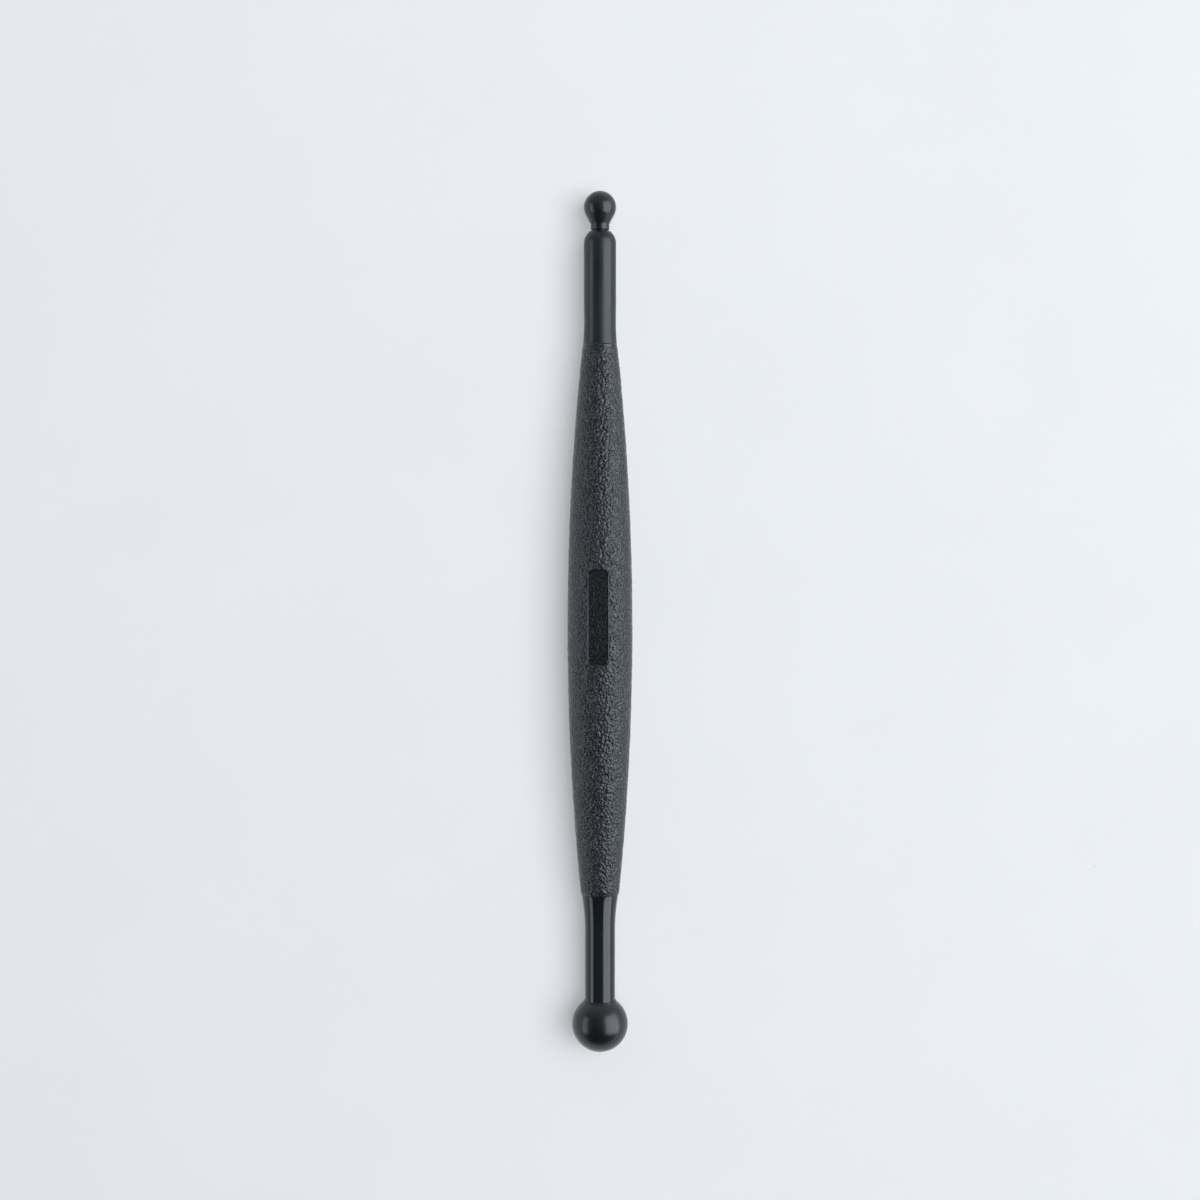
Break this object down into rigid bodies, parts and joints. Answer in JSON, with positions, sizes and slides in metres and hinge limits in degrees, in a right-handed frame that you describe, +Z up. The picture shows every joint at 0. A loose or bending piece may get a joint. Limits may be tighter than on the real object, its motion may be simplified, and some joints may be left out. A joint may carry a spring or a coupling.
{
  "type": "embossing stylus",
  "caption": "Double-ended hand stylus with a small and a large ball tip on slim stems, either side of a soft textured spindle grip, for embossing paper, foil and clay.",
  "frame": {"origin": "middle of the tool's length, on the surface it lies on, under the grip's widest place", "axes": "+Y along the tool towards the small ball, +Z up through the bare label panel, +X to the right when the small ball points away from the viewer"},
  "size_m": [0.0118, 0.1564, 0.0117],
  "materials": {
    "grip_skin": "grained soft-touch skin with lightly shiny peaks",
    "grip_core": "as moulded",
    "small_stem": "satin",
    "small_ball": "semi-gloss",
    "large_stem": "gloss",
    "large_ball": "gloss"
  },
  "bodies": {
    "root": {"grip_skin": "grip_skin", "grip_core": "grip_core", "small_stem": "small_stem", "small_ball": "small_ball", "large_stem": "large_stem", "large_ball": "large_ball"}
  },
  "joints": []
}
